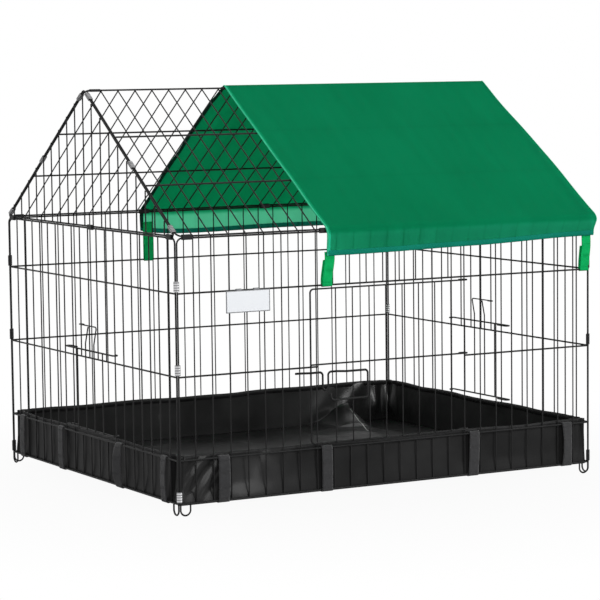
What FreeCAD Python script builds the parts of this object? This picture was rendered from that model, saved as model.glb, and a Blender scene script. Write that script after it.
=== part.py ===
"""Wire cage for small animals, with a gabled roof, a fabric cover and a vinyl floor liner.

Millimetres. +X runs along the long front wall, the front faces -Y, +Z is up, and the feet stand on Z = 0.
Each wall, gable and roof slope is one welded wire panel. It is drawn in a frame of its own, with X along
the panel, Y into the cage and Z up the panel, and is then turned into its place.
Wires are drawn with six flats, two of which face the panel's inside and outside, so that welded wires
meet flat to flat. Their bends are drawn in short straight facets. Both keep the many wires light.
"""
import FreeCAD, Part
import math
import os
from types import SimpleNamespace

Vector = FreeCAD.Vector
Placement = FreeCAD.Placement
Rotation = FreeCAD.Rotation
ALONG = Vector(1, 0, 0)
INWARDS = Vector(0, 1, 0)
UP = Vector(0, 0, 1)

WIRE_SIDES = 6
BEND_FACET_DEGREES = 18
FRONT_BAYS = 25
END_BAYS = 20
FRONT_DOORWAY_BAYS = (8, 17)
END_DOORWAY_BAYS = (8, 13)
FRONT_STRAP_BAYS = (2.5, 8.5, 17.5, 23.5)
END_STRAP_BAYS = (1.5, 6.5, 13.5, 18.5)
INNER_EAVE_SLEEVE_BAYS = (8.5, 16.5)
INNER_BASE_SLEEVE_BAYS = (10.5,)
GABLE_CLIP_BAYS = (0.45, 4.7, 9.5)
COVER_START_BAYS = 8.45
COVER_TAPE_BAYS = (8.55, 24.46)
PLATE_EYE_BAYS = (3.5, 4.5)
ROOF_CROSS_SHARES = (1 / 3, 2 / 3)
CHAMFER_SHARE = 0.45
TAPE_SHARE = 0.58

# Driving sizes of the cage, one cell each.
SIZES = {
    "cage_length": 1000,
    "cage_width": 840,
    "bottom_height": 25,
    "liner_wire_height": 112,
    "middle_height": 280,
    "upper_height": 447,
    "eave_rise": 110,
    "ridge_rise": 289,
    # wires and how they meet
    "frame_wire": 3.2,
    "cross_wire": 3.2,
    "fill_wire": 2.5,
    "bolt_wire": 4,
    "weld_lap": 0.7,
    "pair_gap": 0.8,
    "ridge_gap": 1.2,
    "corner_bend": 12,
    "gable_bend": 4,
    "apex_bend": 10,
    "foot_width": 22,
    # front door
    "door_overlap": 18,
    "door_bend": 8,
    "door_top_gap": 6.7,
    "door_middle_gap": 5,
    "door_bottom_gap": 10.7,
    "eye_clearance": 0.5,
    "eye_slack": 1.6,
    "eye_tail": 9,
    # slide bolt of the front door
    "bolt_clearance": 0.4,
    "bolt_drop": 12,
    "bolt_past": 8,
    "bolt_seat": 3,
    "bolt_ramp": 20,
    "bolt_bend": 5,
    "handle_bend": 7,
    "leg_offset": 12,
    "hairpin_width": 13,
    "hairpin_drop": 37,
    "paddle_width": 88,
    "paddle_drop": 57,
    "paddle_stub": 14,
    "paddle_step": 6,
    "paddle_cross": 16,
    # sliding doors of the end walls
    "slide_top_gap": 16,
    "slide_bottom_gap": 14,
    "slide_clearance": 0.5,
    "slide_eye_reach": 26,
    "lift_rise": 52,
    "lift_lean_start": 15,
    "lift_lean_bend": 8,
    "lift_bend": 6,
    # sheet-metal clips and hinge sleeves
    "clip_length": 20,
    "sleeve_length": 22,
    "clip_sheet": 0.8,
    "clip_clearance": 0.2,
    "clip_rise": 14,
    # floor liner and its straps
    "liner_clearance": 0.4,
    "liner_rise": 8.5,
    "liner_floor_height": 22,
    "liner_thickness": 2,
    "liner_corner": 16,
    "strap_width": 25,
    "strap_thickness": 1.5,
    "strap_clearance": 0.3,
    # roof cover and its straps
    "cover_overhang": 12,
    "cover_clearance": 0.8,
    "cover_thickness": 1.5,
    "valance_drop": 44,
    "tape_seam": 24,
    "tape_return": 30,
    # blank plate on the front wall
    "plate_width": 100,
    "plate_height": 45,
    "plate_sheet": 1.2,
    "plate_eye_width": 12,
    "plate_eye_sheet": 1,
}

doc = FreeCAD.newDocument("SmallAnimalCage")
sheet = doc.addObject("Spreadsheet::Sheet", "Sizes")
for row, (alias, value) in enumerate(SIZES.items(), start=1):
    sheet.set(f"A{row}", alias)
    sheet.set(f"B{row}", str(value))
    sheet.setAlias(f"B{row}", alias)
doc.recompute()
S = SimpleNamespace(**{alias: float(sheet.get(alias)) for alias in SIZES})

# Sizes that follow from the driving ones.
corner_share = 1 / math.cos(math.pi / WIRE_SIDES)
eave_height = S.upper_height + S.eave_rise
ridge_height = eave_height + S.ridge_rise
frame_radius = S.frame_wire / 2
cross_radius = S.cross_wire / 2
fill_radius = S.fill_wire / 2
bolt_radius = S.bolt_wire / 2
frame_reach = frame_radius * corner_share
cross_reach = cross_radius * corner_share
fill_reach = fill_radius * corner_share
pair_spacing = S.frame_wire + S.pair_gap
ridge_spacing = S.frame_wire + S.ridge_gap
post_inset = pair_spacing / math.sqrt(2)
cross_plane = frame_radius - cross_radius
fill_plane = frame_radius + fill_radius
fill_back = frame_radius + S.fill_wire
cross_front = cross_plane - cross_radius
clip_reach = frame_reach + S.clip_clearance + S.clip_sheet
roof_foot = eave_height + pair_spacing
half_width = S.cage_width / 2
half_length = S.cage_length / 2
ridge_inset = ridge_spacing / 2
slope_run = half_width - ridge_inset
slope_rise = ridge_height - roof_foot
slope_length = math.hypot(slope_run, slope_rise)
slope_angle = math.atan2(slope_rise, slope_run)
liner_top = S.liner_wire_height + S.liner_rise
liner_inset = fill_back + S.liner_clearance
cover_inside = clip_reach + S.cover_clearance

# The same sizes as expressions, for the cells that drive the wires.
INSET = "(Sizes.frame_wire + Sizes.pair_gap) / sqrt(2)"
FRAME_REACH = f"Sizes.frame_wire / (2 * cos(180 deg / {WIRE_SIDES}))"
SLOPE_RUN = "(Sizes.cage_width - Sizes.frame_wire - Sizes.ridge_gap) / 2"
SLOPE_RISE = "(Sizes.ridge_rise - Sizes.frame_wire - Sizes.pair_gap)"

# Levels of the walls' wires, each as a height and as the cells that give it.
BOTTOM = SimpleNamespace(height=S.bottom_height, cell="Sizes.bottom_height")
LINER = SimpleNamespace(height=S.liner_wire_height, cell="Sizes.liner_wire_height")
MIDDLE = SimpleNamespace(height=S.middle_height, cell="Sizes.middle_height")
UPPER = SimpleNamespace(height=S.upper_height, cell="Sizes.upper_height")
EAVE = SimpleNamespace(height=eave_height, cell="Sizes.upper_height + Sizes.eave_rise")
CROSS_LEVELS = (BOTTOM, LINER, MIDDLE, UPPER)

nodes = []


def grid(length, bays):
    """Places of a panel's wires, counted in bays from its left post."""
    return [length * (bay / bays - 1 / 2) for bay in range(bays + 1)]


def bay_place(length, bays, bay):
    return length * (bay / bays - 1 / 2)


def bent_path(points, bends, closed=False):
    """A line through the points; each corner is bent round its radius in short straight facets."""
    route = list(points)
    if closed:
        seam = (route[0] + route[1]) * (1 / 2)
        route = [seam] + route[1:] + [route[0], seam]
    spots = [route[0]]
    for before, corner, after, bend in zip(route, route[1:], route[2:], bends):
        heading = (corner - before).normalize()
        ahead = (after - corner).normalize()
        side = (ahead - heading * ahead.dot(heading)).normalize()
        turn = heading.getAngle(ahead)
        centre = corner - heading * (bend * math.tan(turn / 2)) + side * bend
        facets = max(1, round(math.degrees(turn) / BEND_FACET_DEGREES))
        step = turn / facets
        reach = bend / math.cos(step / 2)
        for facet in range(facets):
            angle = (facet + 1 / 2) * step
            spots.append(centre + (heading * math.sin(angle) - side * math.cos(angle)) * reach)
    spots.append(route[-1])
    return Part.makePolygon(spots)


def bent_wire(wire, points, bends, flat=INWARDS, closed=False):
    """A wire of the named gauge, swept along a bent path, with a flat that faces the given way."""
    path = doc.addObject("Part::Feature", "path")
    path.Shape = bent_path(points, bends, closed)
    first = path.Shape.OrderedEdges[0]
    heading = first.tangentAt(first.FirstParameter)
    section = doc.addObject("Part::RegularPolygon", "section")
    section.Polygon = WIRE_SIDES
    section.setExpression("Circumradius", f"Sizes.{wire} / (2 * cos(180 deg / {WIRE_SIDES}))")
    turn = Rotation(flat.cross(heading), flat, heading, "ZYX")
    section.Placement = Placement(path.Shape.OrderedVertexes[0].Point, turn)
    sweep = doc.addObject("Part::Sweep", "bent_wire")
    sweep.Sections = [section]
    sweep.Spine = (path, [f"Edge{number + 1}" for number in range(len(path.Shape.Edges))])
    sweep.Solid = True
    sweep.Transition = "Right corner"
    return sweep


def straight_wire(wire, start, heading, length, flat=INWARDS):
    """A straight wire of the named gauge; its length is an expression on the sheet."""
    rod = doc.addObject("Part::Prism", "wire")
    rod.Polygon = WIRE_SIDES
    rod.setExpression("Circumradius", f"Sizes.{wire} / (2 * cos(180 deg / {WIRE_SIDES}))")
    rod.setExpression("Height", length)
    rod.Placement = Placement(start, Rotation(flat.cross(heading), flat, heading, "ZYX"))
    return rod


def extrusion(face, heading, length, symmetric=True):
    """A flat face drawn out along a heading; its length is an expression on the sheet."""
    outline = doc.addObject("Part::Feature", "outline")
    outline.Shape = face
    solid = doc.addObject("Part::Extrusion", "extrusion")
    solid.Base = outline
    solid.DirMode = "Custom"
    solid.Dir = heading
    solid.Solid = True
    solid.Symmetric = symmetric
    solid.setExpression("LengthFwd", length)
    return solid


def node(label, pieces, place=Placement()):
    """A named sub-part: a group of the solids that belong to it, turned into its place."""
    group = doc.addObject("Part::Compound", label)
    group.Label = label
    group.Links = pieces
    group.Placement = place
    nodes.append(group)
    return group


def turned(position, degrees):
    return Placement(position, Rotation(UP, degrees))


front_place = turned(Vector(0, -half_width, 0), 0)
back_place = turned(Vector(0, half_width, 0), 180)
left_place = turned(Vector(-half_length, 0, 0), -90)
right_place = turned(Vector(half_length, 0, 0), 90)


# Wall panels: a bent frame whose posts end in looped feet, cross wires between the posts,
# and upright wires welded on the inside.
def wall_frame(label, length, place):
    post = length / 2 - post_inset
    loop = post - S.foot_width
    leg_top = S.bottom_height - cross_reach
    half_foot = S.foot_width / 2
    points = [
        Vector(-loop, 0, leg_top),
        Vector(-loop, 0, frame_reach),
        Vector(-post, 0, frame_reach),
        Vector(-post, 0, eave_height),
        Vector(post, 0, eave_height),
        Vector(post, 0, frame_reach),
        Vector(loop, 0, frame_reach),
        Vector(loop, 0, leg_top),
    ]
    bends = [half_foot, half_foot, S.corner_bend, S.corner_bend, half_foot, half_foot]
    return node(label, [bent_wire("frame_wire", points, bends)], place)


def wall_wires(label, span, bays, doorway, place):
    """Cross wires and upright wires; a doorway is (first bay, last bay, sill level, head level)."""
    length = getattr(S, span)
    places = grid(length, bays)
    post_face = length / 2 - post_inset - frame_reach
    first, last, sill, head = doorway
    pieces = []
    for level in CROSS_LEVELS:
        start = Vector(-post_face, cross_plane, level.height)
        if sill.height < level.height < head.height:
            stub = f"Sizes.{span} * {first / bays} - {INSET} - {FRAME_REACH} + Sizes.weld_lap"
            pieces.append(straight_wire("cross_wire", start, ALONG, stub))
            far = Vector(post_face, cross_plane, level.height)
            stub = f"Sizes.{span} * {1 - last / bays} - {INSET} - {FRAME_REACH} + Sizes.weld_lap"
            pieces.append(straight_wire("cross_wire", far, -ALONG, stub))
        else:
            across = f"Sizes.{span} - 2 * ({INSET} + {FRAME_REACH})"
            pieces.append(straight_wire("cross_wire", start, ALONG, across))
    for bay in range(1, bays):
        runs = [(BOTTOM, EAVE)]
        if first < bay < last:
            runs = [(BOTTOM, sill), (head, EAVE)]
        for low, high in runs:
            start = Vector(places[bay], fill_plane, low.height - S.weld_lap)
            upright = f"{high.cell} - {low.cell} + 2 * Sizes.weld_lap"
            pieces.append(straight_wire("fill_wire", start, UP, upright))
    return node(label, pieces, place)


front_doorway = FRONT_DOORWAY_BAYS + (LINER, UPPER)
end_doorway = END_DOORWAY_BAYS + (LINER, MIDDLE)
no_doorway = (0, 0, LINER, LINER)
wall_frame("front_wall_frame", S.cage_length, front_place)
wall_wires("front_wall_wires", "cage_length", FRONT_BAYS, front_doorway, front_place)
wall_frame("back_wall_frame", S.cage_length, back_place)
wall_wires("back_wall_wires", "cage_length", FRONT_BAYS, no_doorway, back_place)
wall_frame("left_wall_frame", S.cage_width, left_place)
wall_wires("left_wall_wires", "cage_width", END_BAYS, end_doorway, left_place)
wall_frame("right_wall_frame", S.cage_width, right_place)
wall_wires("right_wall_wires", "cage_width", END_BAYS, end_doorway, right_place)


# Gables: a bent triangle that stands on the end wall, with upright wires on its outside,
# clear of the roof's edge wire.
def gable(side, place):
    apex = roof_foot + slope_rise * half_width / slope_run
    points = [Vector(-half_width, 0, roof_foot), Vector(half_width, 0, roof_foot), Vector(0, 0, apex)]
    bends = [S.gable_bend, S.apex_bend, S.gable_bend]
    node(f"{side}_gable_frame", [bent_wire("frame_wire", points, bends, closed=True)], place)
    pieces = []
    for bay in range(1, END_BAYS):
        height_share = min(bay, END_BAYS - bay) * 2 / END_BAYS
        start = Vector(bay_place(S.cage_width, END_BAYS, bay), -fill_plane, roof_foot - S.weld_lap)
        upright = f"{SLOPE_RISE} * Sizes.cage_width / 2 / ({SLOPE_RUN}) * {height_share}"
        if 2 * bay == END_BAYS:
            upright = f"{upright} - Sizes.apex_bend * (1 / cos({slope_angle} rad) - 1)"
        pieces.append(straight_wire("fill_wire", start, UP, f"{upright} + Sizes.weld_lap"))
    node(f"{side}_gable_wires", pieces, place)


gable("left", left_place)
gable("right", right_place)


# Roof slopes: a closed bent frame, two cross wires, and wires from ridge to eave underneath.
def roof_place(degrees):
    lean = Rotation(ALONG, math.degrees(slope_angle) - 90)
    eave = Placement(Vector(0, -half_width, roof_foot), lean)
    return Placement(Vector(0, 0, 0), Rotation(UP, degrees)).multiply(eave)


def roof_slope(side, place):
    edge = half_length - pair_spacing
    points = [
        Vector(-edge, 0, 0),
        Vector(edge, 0, 0),
        Vector(edge, 0, slope_length),
        Vector(-edge, 0, slope_length),
    ]
    bends = [S.corner_bend] * len(points)
    node(f"{side}_roof_frame", [bent_wire("frame_wire", points, bends, closed=True)], place)
    pieces = []
    for share in ROOF_CROSS_SHARES:
        start = Vector(-edge + frame_reach, cross_plane, slope_length * share)
        across = f"Sizes.cage_length - 2 * (Sizes.frame_wire + Sizes.pair_gap + {FRAME_REACH})"
        pieces.append(straight_wire("cross_wire", start, ALONG, across))
    for bay in range(1, FRONT_BAYS):
        start = Vector(bay_place(S.cage_length, FRONT_BAYS, bay), fill_plane, S.weld_lap / 2)
        slope = f"sqrt(({SLOPE_RUN}) ^ 2 + {SLOPE_RISE} ^ 2) - Sizes.weld_lap"
        pieces.append(straight_wire("fill_wire", start, UP, slope))
    node(f"{side}_roof_wires", pieces, place)


front_roof_place = roof_place(0)
back_roof_place = roof_place(180)
roof_slope("front", front_roof_place)
roof_slope("back", back_roof_place)

# Front door: one wire bent round three sides, with both ends curled into hinge eyes round a wall wire,
# a middle bar with an eye of its own, and upright wires on the outside.
front_grid = grid(S.cage_length, FRONT_BAYS)
latch_wire, hinge_wire = (front_grid[bay] for bay in FRONT_DOORWAY_BAYS)
door_plane = frame_radius - S.bolt_wire - 2 * S.bolt_clearance - cross_radius
door_left = latch_wire - S.door_overlap
door_top = S.upper_height - S.door_top_gap
door_middle = S.middle_height + S.door_middle_gap
door_bottom = S.liner_wire_height + S.door_bottom_gap
eye_back = fill_back + S.eye_slack + cross_reach
door_eye = (eye_back - door_plane) / 2
door_eye_end = hinge_wire + fill_reach + S.eye_clearance + cross_reach + S.eye_clearance


def door_eye_points(height):
    """The end of a door bar, from its front run to the tail behind the hinge wire."""
    return [
        Vector(door_eye_end, door_plane, height),
        Vector(door_eye_end, eye_back, height),
        Vector(door_eye_end - door_eye - S.eye_tail, eye_back, height),
    ]


frame_points = door_eye_points(door_top)[::-1]
frame_points.append(Vector(door_left, door_plane, door_top))
frame_points.append(Vector(door_left, door_plane, door_bottom))
frame_points.extend(door_eye_points(door_bottom))
frame_bends = [door_eye, door_eye, S.door_bend, S.door_bend, door_eye, door_eye]
bar_points = [Vector(door_left + cross_reach, door_plane, door_middle)] + door_eye_points(door_middle)
node(
    "front_door_frame",
    [
        bent_wire("cross_wire", frame_points, frame_bends, flat=UP),
        bent_wire("cross_wire", bar_points, [door_eye, door_eye], flat=UP),
    ],
    front_place,
)
door_fill_plane = door_plane - cross_reach - fill_radius
DOOR_HEIGHT = (
    "Sizes.upper_height - Sizes.door_top_gap"
    " - Sizes.liner_wire_height - Sizes.door_bottom_gap + 2 * Sizes.weld_lap"
)
door_uprights = []
for bay in range(FRONT_DOORWAY_BAYS[0] + 1, FRONT_DOORWAY_BAYS[1]):
    start = Vector(front_grid[bay], door_fill_plane, door_bottom - S.weld_lap)
    door_uprights.append(straight_wire("fill_wire", start, UP, DOOR_HEIGHT))
node("front_door_wires", door_uprights, front_place)

# Slide bolt of the front door: a single bent wire. Its tip lies behind a wall wire, its run lies between the
# door and the wall, then it dips in a hairpin and passes out past the first door wire into a paddle.
bolt_plane = frame_radius - S.bolt_clearance - bolt_radius
tip_plane = fill_back + S.bolt_clearance + bolt_radius
paddle_plane = door_fill_plane - fill_radius - S.bolt_clearance - bolt_radius
bolt_height = S.middle_height - S.bolt_drop
hairpin_height = bolt_height - S.hairpin_drop
paddle_foot = bolt_height - S.paddle_drop
bolt_wire_place = front_grid[FRONT_DOORWAY_BAYS[0] - 1]
tip_end = bolt_wire_place + S.bolt_seat
leg = latch_wire + S.leg_offset
paddle_left = leg + S.hairpin_width
paddle_right = paddle_left + S.paddle_width
step_start = front_grid[FRONT_DOORWAY_BAYS[0] + 1] + S.paddle_step
step_end = step_start + S.paddle_cross
bolt_points = [
    Vector(bolt_wire_place - S.bolt_past, tip_plane, bolt_height),
    Vector(tip_end, tip_plane, bolt_height),
    Vector(tip_end + S.bolt_ramp, bolt_plane, bolt_height),
    Vector(leg, bolt_plane, bolt_height),
    Vector(leg, bolt_plane, hairpin_height),
    Vector(paddle_left, bolt_plane, hairpin_height),
    Vector(paddle_left, bolt_plane, bolt_height),
    Vector(step_start, bolt_plane, bolt_height),
    Vector(step_end, paddle_plane, bolt_height),
    Vector(paddle_right, paddle_plane, bolt_height),
    Vector(paddle_right, paddle_plane, paddle_foot),
    Vector(paddle_left, paddle_plane, paddle_foot),
    Vector(paddle_left, paddle_plane, paddle_foot + S.paddle_stub),
]
half_hairpin = S.hairpin_width / 2
bolt_bends = [S.bolt_bend, S.bolt_bend, S.handle_bend, half_hairpin, half_hairpin, S.handle_bend]
bolt_bends += [S.bolt_bend, S.bolt_bend, S.handle_bend, S.handle_bend, S.handle_bend]
node("front_door_bolt", [bent_wire("bolt_wire", bolt_points, bolt_bends)], front_place)


# Sliding doors of the end walls: two bars with eyes that ride on two wall wires, upright wires on the
# outside, and a lifting handle that leans in to an eye round a third wall wire.
def sliding_door(side, place):
    places = grid(S.cage_width, END_BAYS)
    near_guide, far_guide = (places[bay] for bay in END_DOORWAY_BAYS)
    bar_plane = cross_front - S.slide_clearance - cross_radius
    eye = (eye_back - bar_plane) / 2
    short_reach = fill_reach + S.eye_clearance + cross_reach + S.eye_clearance
    near_end = near_guide - S.slide_eye_reach
    far_end = far_guide + short_reach
    near_tail = near_guide + S.eye_tail
    far_tail = far_guide - S.eye_tail
    low_bar = S.liner_wire_height + S.slide_bottom_gap
    high_bar = S.middle_height + S.slide_top_gap
    bars = []
    for height in (low_bar, high_bar):
        points = [
            Vector(near_tail, eye_back, height),
            Vector(near_end, eye_back, height),
            Vector(near_end, bar_plane, height),
            Vector(far_end, bar_plane, height),
            Vector(far_end, eye_back, height),
            Vector(far_tail, eye_back, height),
        ]
        bars.append(bent_wire("cross_wire", points, [eye] * 4, flat=UP))
    node(f"{side}_door_bars", bars, place)

    upright_plane = bar_plane - cross_reach - fill_radius
    foot = low_bar - S.weld_lap
    upright = (
        "Sizes.middle_height + Sizes.slide_top_gap - Sizes.liner_wire_height"
        " - Sizes.slide_bottom_gap + 2 * Sizes.weld_lap"
    )
    door_places = places[END_DOORWAY_BAYS[0] + 1:END_DOORWAY_BAYS[1]]
    handle_eye_wire, near_leg, far_leg = door_places[:3]
    uprights = []
    for outer_place in (door_places[0], door_places[-1]):
        start = Vector(outer_place, upright_plane, foot)
        uprights.append(straight_wire("fill_wire", start, UP, upright))
    handle_plane = frame_radius - S.slide_clearance - fill_radius
    handle_top = high_bar + S.lift_rise
    lean_start = high_bar + S.lift_lean_start
    handle_eye_back = fill_back + S.eye_clearance + fill_radius
    handle_eye = (handle_eye_back - handle_plane) / 2
    handle_end = handle_eye_wire - fill_reach - S.eye_clearance - fill_reach - S.eye_clearance
    points = [
        Vector(far_leg, upright_plane, foot),
        Vector(far_leg, upright_plane, lean_start),
        Vector(far_leg, handle_plane, handle_top),
        Vector(handle_end, handle_plane, handle_top),
        Vector(handle_end, handle_eye_back, handle_top),
        Vector(handle_eye_wire + S.eye_tail, handle_eye_back, handle_top),
    ]
    bends = [S.lift_lean_bend, S.lift_bend, handle_eye, handle_eye]
    uprights.append(bent_wire("fill_wire", points, bends))
    points = [
        Vector(near_leg, upright_plane, foot),
        Vector(near_leg, upright_plane, lean_start),
        Vector(near_leg, handle_plane, handle_top - fill_reach - S.weld_lap),
    ]
    uprights.append(bent_wire("fill_wire", points, [S.lift_lean_bend]))
    node(f"{side}_door_wires", uprights, place)


sliding_door("left", left_place)
sliding_door("right", right_place)


# Clips and hinge sleeves: sheet metal folded round two wires that lie side by side.
def clip(centre, heading, across, spacing, length):
    side = across.cross(heading)
    half_side = clip_reach
    half_across = spacing / 2 + clip_reach
    cut = half_side * CHAMFER_SHARE
    inner_side = half_side - S.clip_sheet
    inner_across = half_across - S.clip_sheet

    def ring(corners):
        spots = [centre + across * out + side * over for out, over in corners]
        return Part.makePolygon(spots + spots[:1])

    outside = ring([
        (half_across - cut, half_side),
        (cut - half_across, half_side),
        (-half_across, half_side - cut),
        (-half_across, cut - half_side),
        (cut - half_across, -half_side),
        (half_across - cut, -half_side),
        (half_across, cut - half_side),
        (half_across, half_side - cut),
    ])
    inside = ring([
        (inner_across, inner_side),
        (inner_across, -inner_side),
        (-inner_across, -inner_side),
        (-inner_across, inner_side),
    ])
    return extrusion(Part.Face([outside, inside]), heading, f"Sizes.{length}")


def corner_clips(label, right, back, length):
    """Clips that hold two walls' posts together, each just above a cross wire."""
    centre = Vector(right * (half_length - post_inset / 2), back * (half_width - post_inset / 2), 0)
    across = Vector(right, -back, 0).normalize()
    levels = (S.bottom_height, S.middle_height, S.upper_height)
    pieces = []
    for level in levels:
        pieces.append(clip(centre + UP * (level + S.clip_rise), UP, across, pair_spacing, length))
    node(label, pieces)


corner_clips("front_left_clips", -1, -1, "clip_length")
corner_clips("back_right_clips", 1, 1, "clip_length")
corner_clips("back_left_sleeves", -1, 1, "sleeve_length")
corner_clips("front_right_sleeves", 1, -1, "sleeve_length")

end_sleeve = half_length - post_inset - S.corner_bend - S.sleeve_length / 2
sleeve_places = [bay_place(S.cage_length, FRONT_BAYS, bay) for bay in INNER_EAVE_SLEEVE_BAYS]
sleeve_places = [-end_sleeve] + sleeve_places + [end_sleeve]
eave_pair = eave_height + pair_spacing / 2
for side, place in (("front", front_place), ("back", back_place)):
    pieces = []
    for spot in sleeve_places:
        pieces.append(clip(Vector(spot, 0, eave_pair), ALONG, UP, pair_spacing, "sleeve_length"))
    node(f"{side}_eave_sleeves", pieces, place)

ridge_clips = []
for spot in sleeve_places:
    ridge_clips.append(clip(Vector(spot, 0, ridge_height), ALONG, INWARDS, ridge_spacing, "sleeve_length"))
node("ridge_sleeves", ridge_clips)

base_end = half_width - post_inset - S.corner_bend - S.sleeve_length / 2
base_places = [bay_place(S.cage_width, END_BAYS, bay) for bay in INNER_BASE_SLEEVE_BAYS]
base_places = [-base_end] + base_places + [base_end]
slope_heading = Vector(0, slope_run, slope_rise).normalize()
for side, place, right in (("left", left_place, -1), ("right", right_place, 1)):
    pieces = []
    for spot in base_places:
        pieces.append(clip(Vector(spot, 0, eave_pair), ALONG, UP, pair_spacing, "sleeve_length"))
    node(f"{side}_base_sleeves", pieces, place)
    pieces = []
    for back in (-1, 1):
        heading = Vector(0, -back * slope_heading.y, slope_heading.z)
        for bay in GABLE_CLIP_BAYS:
            run = S.cage_width * bay / END_BAYS
            rise = run * slope_rise / slope_run
            out = right * (half_length - pair_spacing / 2)
            spot = Vector(out, back * (half_width - run), roof_foot + rise)
            pieces.append(clip(spot, heading, ALONG, pair_spacing, "clip_length"))
    node(f"{side}_gable_clips", pieces)


# Soft goods, as plain closed solids of the right size and place.
def rounded_box(inset, low, height):
    across = half_length - inset
    depth = half_width - inset
    corners = [
        Vector(-across, -depth, low),
        Vector(across, -depth, low),
        Vector(across, depth, low),
        Vector(-across, depth, low),
    ]
    corner = S.liner_corner + liner_inset - inset
    outline = bent_path(corners, [corner] * len(corners), closed=True)
    return extrusion(Part.Face(outline), UP, height, symmetric=False)


LINER_HEIGHT = "Sizes.liner_wire_height + Sizes.liner_rise - Sizes.liner_floor_height"
liner_outside = rounded_box(liner_inset, S.liner_floor_height, LINER_HEIGHT)
liner_hollow = rounded_box(
    liner_inset + S.liner_thickness, S.liner_floor_height + S.liner_thickness, LINER_HEIGHT
)
liner = doc.addObject("Part::Cut", "liner")
liner.Base = liner_outside
liner.Tool = liner_hollow
node("floor_liner", [liner])


def band_sides(points, thickness):
    """The two long sides of a flat band that follows a line in the Y and Z of a panel."""
    sides = []
    for shift in (thickness / 2, -thickness / 2):
        side = []
        for number, point in enumerate(points):
            before = points[max(number - 1, 0)]
            after = points[min(number + 1, len(points) - 1)]
            runs = [run.normalize() for run in (point - before, after - point) if run.Length > 0]
            faces = [run.cross(ALONG) for run in runs]
            lean = (faces[0] + faces[-1]).normalize()
            side.append(point + lean * (shift / lean.dot(faces[0])))
        sides.append(side)
    return sides


def band_face(points, thickness):
    left, right = band_sides(points, thickness)
    return Part.Face(Part.makePolygon(left + right[::-1] + left[:1]))


half_strap = S.strap_thickness / 2
strap_end = liner_inset - S.strap_clearance
strap_out = cross_front - S.strap_clearance - half_strap
strap_top = S.liner_wire_height + cross_reach + S.strap_clearance + half_strap
strap_foot = S.bottom_height - cross_reach - S.strap_clearance - half_strap
strap_line = [
    Vector(0, strap_end, strap_top),
    Vector(0, strap_out, strap_top),
    Vector(0, strap_out, strap_foot),
    Vector(0, strap_end, strap_foot),
]
walls = (
    ("front", front_place, S.cage_length, FRONT_BAYS, FRONT_STRAP_BAYS),
    ("back", back_place, S.cage_length, FRONT_BAYS, FRONT_STRAP_BAYS),
    ("left", left_place, S.cage_width, END_BAYS, END_STRAP_BAYS),
    ("right", right_place, S.cage_width, END_BAYS, END_STRAP_BAYS),
)
for side, place, length, bays, strap_bays in walls:
    straps = []
    for bay in strap_bays:
        shift = ALONG * bay_place(length, bays, bay)
        face = band_face([point + shift for point in strap_line], S.strap_thickness)
        straps.append(extrusion(face, ALONG, "Sizes.strap_width"))
    node(f"{side}_liner_straps", straps, place)


def cover_points(offset):
    """Hem, eave fold, ridge, eave fold and hem of the cover, at a distance outside the wires."""
    rise_share = math.sin(slope_angle)
    run_share = math.cos(slope_angle)
    valance = half_width + offset
    fold = roof_foot + offset * (run_share - rise_share * (1 - rise_share) / run_share)
    crest = fold + valance * math.tan(slope_angle)
    hem = eave_height - S.valance_drop
    return [
        Vector(0, -valance, hem),
        Vector(0, -valance, fold),
        Vector(0, 0, crest),
        Vector(0, valance, fold),
        Vector(0, valance, hem),
    ]


cover_start = ALONG * bay_place(S.cage_length, FRONT_BAYS, COVER_START_BAYS)
cover_lines = []
for offset in (cover_inside, cover_inside + S.cover_thickness):
    points = [point + cover_start for point in cover_points(offset)]
    cover_lines.append(bent_path(points, [offset] * (len(points) - 2)))
inner_line, outer_line = cover_lines
hems = []
for end in (0, -1):
    hems.append(Part.makeLine(inner_line.OrderedVertexes[end].Point, outer_line.OrderedVertexes[end].Point))
cover_face = Part.Face(Part.Wire(Part.__sortEdges__(inner_line.Edges + outer_line.Edges + hems)))
COVER_LENGTH = f"Sizes.cage_length * {1 - COVER_START_BAYS / FRONT_BAYS} + Sizes.cover_overhang"
node("roof_cover", [extrusion(cover_face, ALONG, COVER_LENGTH, symmetric=False)])

tape_out = S.strap_clearance + half_strap - cover_inside
tape_in = frame_radius + S.strap_clearance + half_strap
tape_foot = S.upper_height - cross_reach - S.strap_clearance - half_strap
tape_line = [
    Vector(0, tape_out, eave_height - S.valance_drop + S.tape_seam),
    Vector(0, tape_out, tape_foot),
    Vector(0, tape_in, tape_foot),
    Vector(0, tape_in, S.upper_height + S.tape_return),
]
TAPE_WIDTH = f"Sizes.cage_length * {TAPE_SHARE / FRONT_BAYS}"
for side, place, mirror in (("front", front_place, 1), ("back", back_place, -1)):
    straps = []
    for bay in COVER_TAPE_BAYS:
        shift = ALONG * (mirror * bay_place(S.cage_length, FRONT_BAYS, bay))
        face = band_face([point + shift for point in tape_line], S.strap_thickness)
        straps.append(extrusion(face, ALONG, TAPE_WIDTH))
    node(f"{side}_cover_tapes", straps, place)

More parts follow.
